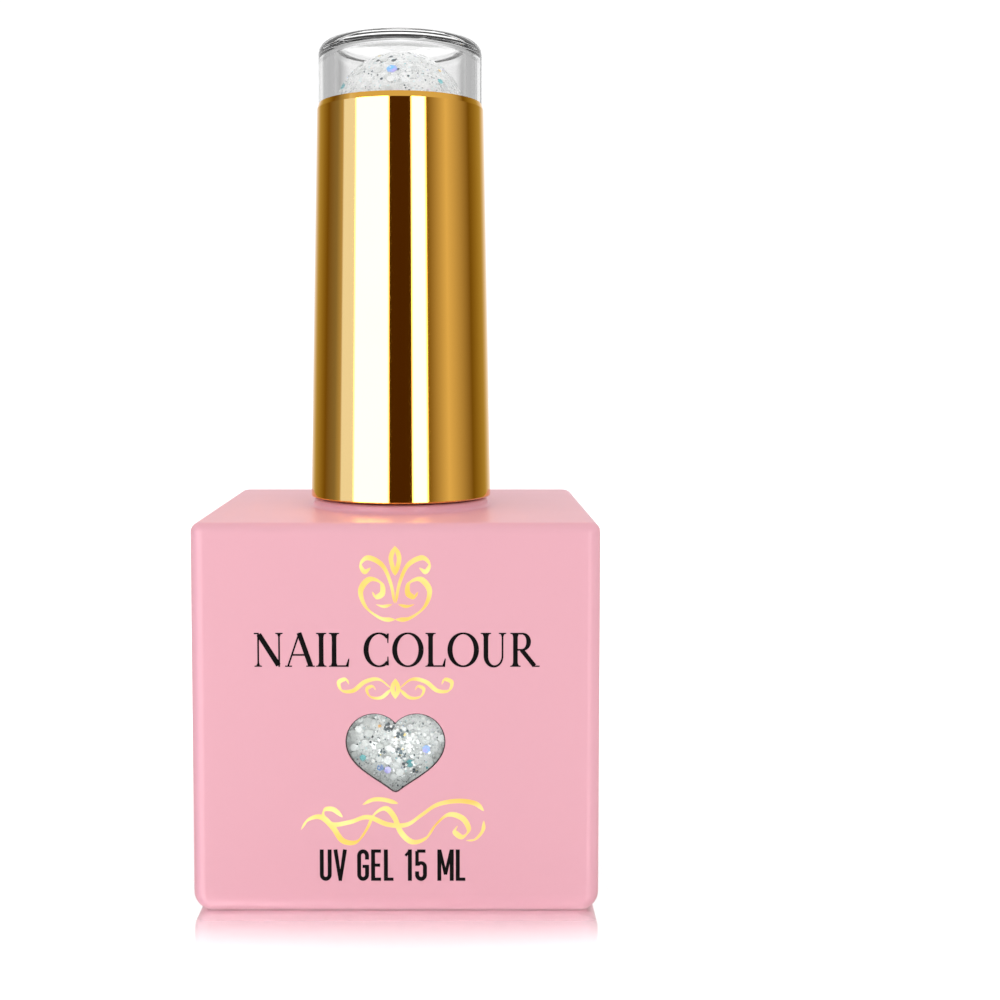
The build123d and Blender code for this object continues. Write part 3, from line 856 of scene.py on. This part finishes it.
# A dark line round the heart window, just in front of the glass: painted shade standing for the shadow of
# the lacquer's edge on the window.
SHADE_LINE_WIDTH = 0.09
SHADE_LINE_DEPTH = 0.1 * MM  # behind the lacquer's face
SHADE_LINE_THICKNESS = 0.04 * MM


def heart_outline():
    """Middle of the painted shade line just inside the rim of the heart-shaped opening, from the lacquer's
    own mesh, in millimetres.
    """
    found = {}
    for point in nodes["lacquer_coat"].data.vertices:
        inside = abs(point.co.x) < WINDOW_HALF and WINDOW_LOW < point.co.z < WINDOW_HIGH
        if inside and abs(point.co.y - front) < 0.001 * MM:
            found[(round(point.co.x / MM, 4), round(point.co.z / MM, 4))] = True
    rim = [Vector(key) for key in found]
    middle = sum(rim, Vector((0, 0))) / len(rim)
    rim.sort(key=lambda point: math.atan2(point.y - middle.y, point.x - middle.x))
    return [point + (middle - point).normalized() * SHADE_LINE_WIDTH / 2 for point in rim]


outline = heart_outline()
outline.append(outline[0])
# painted shade line round the heart window
printed(
    "heart_shade_line",
    [(outline, [SHADE_LINE_WIDTH] * len(outline))],
    ink_and_shade_line_material("painted_shade_line", (0.05, 0.04, 0.04), (0.09, 0.07, 0.07)),
    front + SHADE_LINE_DEPTH,
    front + SHADE_LINE_DEPTH + SHADE_LINE_THICKNESS,
)


# ---------------------------------------------------------------- studio
FLOOR_HALF = 1.2
FLOOR_GLOW = 0.2  # keeps the white of the floor even round the bottle
REFLECTION_REACH = 10 * MM
REFLECTION_INSET = 1.5 * MM  # the reflection begins to fade this far inside the body's outline
REFLECTION_SHARE = 0.9


def floor_material():
    """White floor with a soft reflection that fades away from the bottle's foot."""
    material, tree, shader = new_material("studio_floor")
    shader.inputs["Base Color"].default_value = (0.93, 0.93, 0.93, 1)
    shader.inputs["Emission Color"].default_value = (1, 1, 1, 1)
    shader.inputs["Emission Strength"].default_value = FLOOR_GLOW
    shader.inputs["Roughness"].default_value = 0.9
    shader.inputs["Specular IOR Level"].default_value = 0.0
    split = tree.nodes.new("ShaderNodeSeparateXYZ")
    tree.links.new(place(tree), split.inputs[0])
    outside = []
    for axis, half in (("X", coat_high.x), ("Y", coat_high.y)):
        size = node(tree, "ShaderNodeMath", operation="ABSOLUTE")
        tree.links.new(split.outputs[axis], size.inputs[0])
        past = node(tree, "ShaderNodeMath", operation="SUBTRACT")
        past.inputs[1].default_value = half - REFLECTION_INSET
        tree.links.new(size.outputs[0], past.inputs[0])
        kept = node(tree, "ShaderNodeMath", operation="MAXIMUM")
        kept.inputs[1].default_value = 0
        tree.links.new(past.outputs[0], kept.inputs[0])
        squared = node(tree, "ShaderNodeMath", operation="POWER")
        squared.inputs[1].default_value = 2
        tree.links.new(kept.outputs[0], squared.inputs[0])
        outside.append(squared.outputs[0])
    total = node(tree, "ShaderNodeMath", operation="ADD")
    tree.links.new(outside[0], total.inputs[0])
    tree.links.new(outside[1], total.inputs[1])
    distance = node(tree, "ShaderNodeMath", operation="SQRT")
    tree.links.new(total.outputs[0], distance.inputs[0])
    fade = node(tree, "ShaderNodeMapRange", interpolation_type="SMOOTHSTEP")
    fade.inputs["From Min"].default_value = 0
    fade.inputs["From Max"].default_value = REFLECTION_REACH
    fade.inputs["To Min"].default_value = REFLECTION_SHARE
    fade.inputs["To Max"].default_value = 0.0
    tree.links.new(distance.outputs[0], fade.inputs["Value"])
    mirror = node(tree, "ShaderNodeBsdfGlossy", Color=(0.98, 0.98, 0.98, 1), Roughness=0.0)
    mixed = choose(tree, fade.outputs["Result"], shader.outputs[0], mirror.outputs[0])
    tree.links.new(mixed, tree.nodes["Material Output"].inputs["Surface"])
    return material


floor_mesh = bpy.data.meshes.new("studio_floor")
corners = [(-1, -1), (1, -1), (1, 1), (-1, 1)]
floor_mesh.from_pydata([(FLOOR_HALF * x, FLOOR_HALF * y, 0) for x, y in corners], [], [(0, 1, 2, 3)])
floor = add_object("studio_floor", floor_mesh, [floor_material()])
floor.visible_glossy = False  # polished metal mirrors the soft boxes down to its foot

# What the studio shows at each bearing, in degrees from the camera's side: polished metal mirrors
# bright soft boxes and dark cards, and clear pieces bend the paler second set. The floor and the
# skin of clear pieces are perfectly sharp mirrors, and these see the plain white room.
STRIP_LIGHTS = [
    (-180, (1.1, 1.1, 1.1)),
    (-160, (0.9, 0.9, 0.9)),
    (-140, (0.45, 0.4, 0.14)),
    (-112, (0.18, 0.12, 0.015)),
    (-92, (0.26, 0.26, 0.26)),
    (-82, (0.5, 0.5, 0.5)),
    (-80, (0.92, 1.25, 3.2)),
    (-61, (0.92, 1.25, 3.2)),
    (-59, (11, 11, 11)),
    (-15, (11, 11, 11)),
    (-13, (0.07, 0.03, 0.0)),
    (16, (0.07, 0.03, 0.0)),
    (18, (11, 11, 11)),
    (34, (11, 11, 11)),
    (37, (0.2, 0.14, 0.01)),
    (66, (0.79, 0.78, 0.78)),
    (108, (0.185, 0.13, 0.02)),
    (140, (0.45, 0.4, 0.14)),
    (160, (0.9, 0.9, 0.9)),
    (180, (1.1, 1.1, 1.1)),
]
CLEAR_BANDS = [
    (-180, (0.88, 0.88, 0.88)),
    (-166, (0.86, 0.86, 0.86)),
    (-156, (0.36, 0.36, 0.36)),
    (-112, (0.5, 0.5, 0.5)),
    (-62, (1.2, 1.2, 1.2)),
    (62, (1.2, 1.2, 1.2)),
    (112, (0.5, 0.5, 0.5)),
    (156, (0.36, 0.36, 0.36)),
    (166, (0.86, 0.86, 0.86)),
    (180, (0.88, 0.88, 0.88)),
]
ROOM_LIGHT = 1.06
SKY_LIGHT = 1.28  # the room's light from overhead
CEILING_LIGHT = 0.72
STRIP_TOP = 0.5  # sine of the height at which the soft boxes end
CEILING_START = 0.6  # and of the height from which only the ceiling is seen


def backdrop(tree, turn, bands):
    """Light by bearing: a Background node fed by a ramp through bands."""
    peak = max(max(light) for _, light in bands)
    steps = tree.nodes.new("ShaderNodeValToRGB")
    stops = steps.color_ramp.elements
    while len(stops) > 1:
        stops.remove(stops[-1])
    for index, (degrees, light) in enumerate(bands):
        position = (degrees + 180) / 360
        stop = stops[0] if index == 0 else stops.new(position)
        stop.position = position
        stop.color = (*[c / peak for c in light], 1)
    tree.links.new(turn, steps.inputs[0])
    shown = node(tree, "ShaderNodeBackground", Strength=peak)
    tree.links.new(steps.outputs[0], shown.inputs["Color"])
    return shown.outputs[0]


def studio_world():
    """Even white room; polished metal sees soft boxes and dark cards round the bottle."""
    world = bpy.data.worlds.new("studio")
    bpy.context.scene.world = world
    world.use_nodes = True
    tree = world.node_tree
    tree.nodes.clear()
    split = tree.nodes.new("ShaderNodeSeparateXYZ")
    tree.links.new(tree.nodes.new("ShaderNodeTexCoord").outputs["Generated"], split.inputs[0])
    towards = node(tree, "ShaderNodeMath", operation="MULTIPLY")
    towards.inputs[1].default_value = -1
    tree.links.new(split.outputs["Y"], towards.inputs[0])
    bearing = node(tree, "ShaderNodeMath", operation="ARCTAN2")
    tree.links.new(split.outputs["X"], bearing.inputs[0])
    tree.links.new(towards.outputs[0], bearing.inputs[1])
    turn = node(tree, "ShaderNodeMapRange")
    turn.inputs["From Min"].default_value = -math.pi
    turn.inputs["From Max"].default_value = math.pi
    tree.links.new(bearing.outputs[0], turn.inputs["Value"])
    overhead = node(tree, "ShaderNodeMapRange")
    overhead.inputs["From Min"].default_value = STRIP_TOP
    overhead.inputs["From Max"].default_value = CEILING_START
    tree.links.new(split.outputs["Z"], overhead.inputs["Value"])
    strips = backdrop(tree, turn.outputs["Result"], STRIP_LIGHTS)
    ceiling = node(tree, "ShaderNodeBackground", Color=(1, 1, 1, 1), Strength=CEILING_LIGHT)
    mirrored_room = choose(tree, overhead.outputs["Result"], strips, ceiling.outputs[0])
    room = node(tree, "ShaderNodeBackground", Color=(1, 1, 1, 1), Strength=ROOM_LIGHT)
    sky = node(tree, "ShaderNodeBackground", Color=(1, 1, 1, 1), Strength=SKY_LIGHT)
    plain_room = choose(tree, overhead.outputs["Result"], room.outputs[0], sky.outputs[0])
    path = tree.nodes.new("ShaderNodeLightPath")
    seen = choose(tree, path.outputs["Is Glossy Ray"], plain_room, mirrored_room)
    seen = choose(tree, path.outputs["Is Singular Ray"], seen, plain_room)
    clear_view = backdrop(tree, turn.outputs["Result"], CLEAR_BANDS)
    seen = choose(tree, path.outputs["Is Transmission Ray"], seen, clear_view)
    output = tree.nodes.new("ShaderNodeOutputWorld")
    tree.links.new(seen, output.inputs["Surface"])


studio_world()
bpy.context.scene.view_settings.view_transform = "Standard"

# A soft box that lights only what stands behind the heart window, which the room barely reaches.
GEL_LIGHT_SIZE = 50 * MM
GEL_LIGHT_DISTANCE = 90 * MM
GEL_LIGHT_HEIGHT = 30 * MM
GEL_LIGHT_POWER = 0.045

gel_light_data = bpy.data.lights.new("gel_light", "AREA")
gel_light_data.size = GEL_LIGHT_SIZE
gel_light_data.energy = GEL_LIGHT_POWER
gel_light = bpy.data.objects.new("gel_light", gel_light_data)
gel_light.location = (0, -GEL_LIGHT_DISTANCE, GEL_LIGHT_HEIGHT)
heart_middle = Vector((0, front, (WINDOW_LOW + WINDOW_HIGH) / 2))
gel_light.rotation_euler = (heart_middle - gel_light.location).to_track_quat("-Z", "Y").to_euler()
bpy.context.scene.collection.objects.link(gel_light)
lit_by_it = bpy.data.collections.new("lit_by_gel_light")
lit_by_it.objects.link(gel)
lit_by_it.objects.link(window_glitter)
gel_light.light_linking.receiver_collection = lit_by_it

# ---------------------------------------------------------------- camera
CAMERA_DISTANCE = 120 * MM
CAMERA_HEIGHT = 44.7 * MM
CAMERA_SIDE = 4.31 * MM
CAMERA_PITCH = math.radians(3.27)
CAMERA_LENS = 49.16
CAMERA_SHIFT_X = 0.05
CAMERA_SHIFT_Y = -0.07

camera_data = bpy.data.cameras.new("camera")
camera_data.sensor_width = 36
camera_data.lens = CAMERA_LENS
camera_data.shift_x = CAMERA_SHIFT_X
camera_data.shift_y = CAMERA_SHIFT_Y
camera_data.clip_start = 0.005
camera = bpy.data.objects.new("camera", camera_data)
camera.location = (CAMERA_SIDE, -CAMERA_DISTANCE, CAMERA_HEIGHT)
camera.rotation_euler = (math.radians(90) - CAMERA_PITCH, 0, 0)
bpy.context.scene.collection.objects.link(camera)
bpy.context.scene.camera = camera
